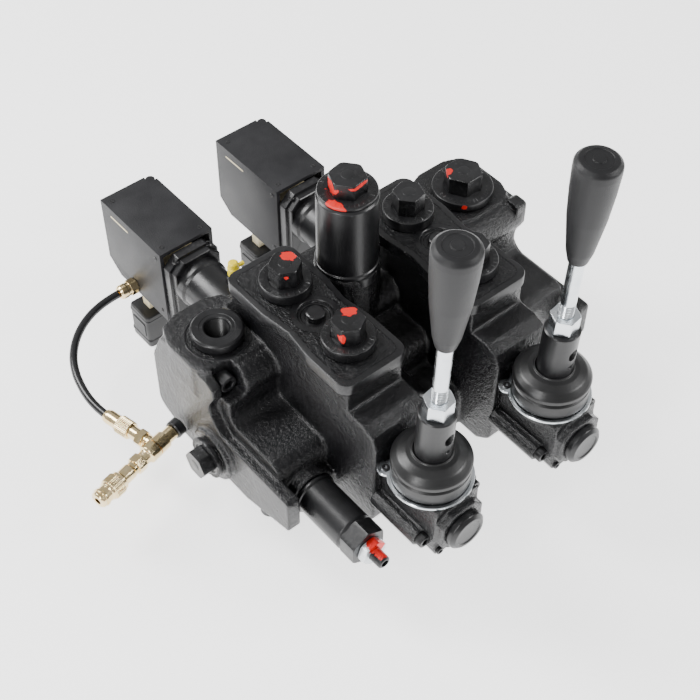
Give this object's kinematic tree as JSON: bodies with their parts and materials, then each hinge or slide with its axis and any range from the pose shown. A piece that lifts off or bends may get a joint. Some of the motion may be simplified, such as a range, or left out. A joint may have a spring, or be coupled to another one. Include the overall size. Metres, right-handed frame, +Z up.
{
  "type": "hydraulic monoblock valve",
  "caption": "Cast monoblock spool valve with hand levers in rubber boots, hexagon port plugs, a compensator tower, a relief cartridge and air-operated spool actuators.",
  "frame": {"origin": "middle of the cast body's underside, halfway between the two spools", "axes": "+Y along the spools, from the hand levers towards the air actuators; +X along the row of sections, from the inlet port to the outlet port; +Z up, towards the plugged work ports"},
  "size_m": [0.354, 0.3693, 0.3102],
  "materials": {
    "black_painted_cast_iron": "satin black paint over a sand-cast surface, machined faces painted over",
    "black_plugs": "satin black over turned steel, red paint marks on the plug hexagons",
    "dark_grey_covers": "fine matt dark grey powder coat",
    "zinc_plate": "bright zinc plating",
    "pale_brass": "pale nickel-washed brass, bright turned finish",
    "ground_steel": "ground and hardened steel, oiled",
    "spring_steel": "oil-tempered spring wire",
    "black_rubber": "moulded black rubber",
    "knob_plastic": "fine-grained dark plastic",
    "connector_plastic": "moulded black nylon",
    "beige_plastic": "moulded beige plastic",
    "yellow_plastic": "moulded yellow plastic",
    "hose_plastic": "smooth black nylon tube"
  },
  "bodies": {
    "valve": {"actuator_bonnet_1": "black_painted_cast_iron", "actuator_bonnet_2": "black_painted_cast_iron", "actuator_box_1": "dark_grey_covers", "actuator_box_2": "dark_grey_covers", "air_coupling": "pale_brass", "air_fitting": "pale_brass", "air_hose": "hose_plastic", "air_port_cap": "yellow_plastic", "air_tee": "pale_brass", "body_air_stub": "black_plugs", "centring_spring_1": "spring_steel", "centring_spring_2": "spring_steel", "clamp_plate_1": "zinc_plate", "clamp_plate_2": "zinc_plate", "connector_plug_1": "connector_plastic", "connector_plug_2": "connector_plastic", "end_port_plug": "black_plugs", "inlet_port_bush": "black_plugs", "lever_boot_1": "black_rubber", "lever_boot_2": "black_rubber", "lever_box_1": "black_painted_cast_iron", "lever_box_2": "black_painted_cast_iron", "lever_box_cap_1": "black_painted_cast_iron", "lever_box_cap_2": "black_painted_cast_iron", "load_check_cap_1": "black_plugs", "load_check_cap_2": "black_plugs", "load_check_spring_1": "spring_steel", "load_check_spring_2": "spring_steel", "mounting_bolt_1": "black_plugs", "mounting_bolt_2": "black_plugs", "outlet_port_plug": "black_plugs", "pilot_valve_1": "beige_plastic", "pilot_valve_2": "beige_plastic", "pocket_screw": "black_plugs", "port_plug_a1": "black_plugs", "port_plug_a2": "black_plugs", "port_plug_b1": "black_plugs", "port_plug_b2": "black_plugs", "relief_cartridge": "black_plugs", "relief_lock_nut": "zinc_plate", "relief_spring": "spring_steel", "tower_plug": "black_plugs", "tower_sleeve": "black_plugs", "valve_body": "black_painted_cast_iron"},
    "lever_1": {"lever_fork_1": "black_plugs", "lever_lock_nut_1": "zinc_plate", "lever_rod_1": "zinc_plate", "lever_knob_1": "knob_plastic"},
    "lever_2": {"lever_fork_2": "black_plugs", "lever_lock_nut_2": "zinc_plate", "lever_rod_2": "zinc_plate", "lever_knob_2": "knob_plastic"},
    "spool_1": {"spool_1": "ground_steel", "actuator_piston_1": "ground_steel"},
    "spool_2": {"spool_2": "ground_steel", "actuator_piston_2": "ground_steel"},
    "load_check_1": {"load_check_poppet_1": "ground_steel"},
    "load_check_2": {"load_check_poppet_2": "ground_steel"},
    "relief_poppet": {"relief_poppet": "ground_steel"},
    "relief_screw": {"relief_adjust_screw": "black_plugs"}
  },
  "joints": [
    {"name": "lever_1_tilt", "type": "hinge", "parent": "valve", "child": "lever_1", "pos_m": [-0.0517, -0.1322, 0.084], "axis": [1, 0, 0], "range_deg": [-11, 11], "stiffness_Nm_per_rad": 6, "deforming": ["lever_boot_1"]},
    {"name": "spool_1_slide", "type": "slide", "parent": "valve", "child": "spool_1", "axis": [0, 1, 0], "range_m": [-0.007, 0.007]},
    {"name": "load_check_1_lift", "type": "slide", "parent": "valve", "child": "load_check_1", "axis": [0, 0, 1], "range_m": [0, 0.003], "stiffness_N_per_m": 300, "springref_m": -0.004, "deforming": ["load_check_spring_1"]},
    {"name": "lever_2_tilt", "type": "hinge", "parent": "valve", "child": "lever_2", "pos_m": [0.0517, -0.1322, 0.084], "axis": [1, 0, 0], "range_deg": [-11, 11], "stiffness_Nm_per_rad": 6, "deforming": ["lever_boot_2"]},
    {"name": "spool_2_slide", "type": "slide", "parent": "valve", "child": "spool_2", "axis": [0, 1, 0], "range_m": [-0.007, 0.007]},
    {"name": "load_check_2_lift", "type": "slide", "parent": "valve", "child": "load_check_2", "axis": [0, 0, 1], "range_m": [0, 0.003], "stiffness_N_per_m": 300, "springref_m": -0.004, "deforming": ["load_check_spring_2"]},
    {"name": "relief_poppet_lift", "type": "slide", "parent": "valve", "child": "relief_poppet", "axis": [0, -1, 0], "range_m": [0, 0.0015], "stiffness_N_per_m": 3000, "springref_m": -0.004},
    {"name": "relief_screw_turn", "type": "hinge", "parent": "valve", "child": "relief_screw", "pos_m": [-0.093, -0.118, 0.02], "axis": [0, -1, 0], "range_deg": [-180, 180]}
  ],
  "couplings": [
    {"joint": "spool_1_slide", "follows": "lever_1_tilt", "m_per_rad": 0.036},
    {"joint": "spool_2_slide", "follows": "lever_2_tilt", "m_per_rad": 0.036}
  ]
}
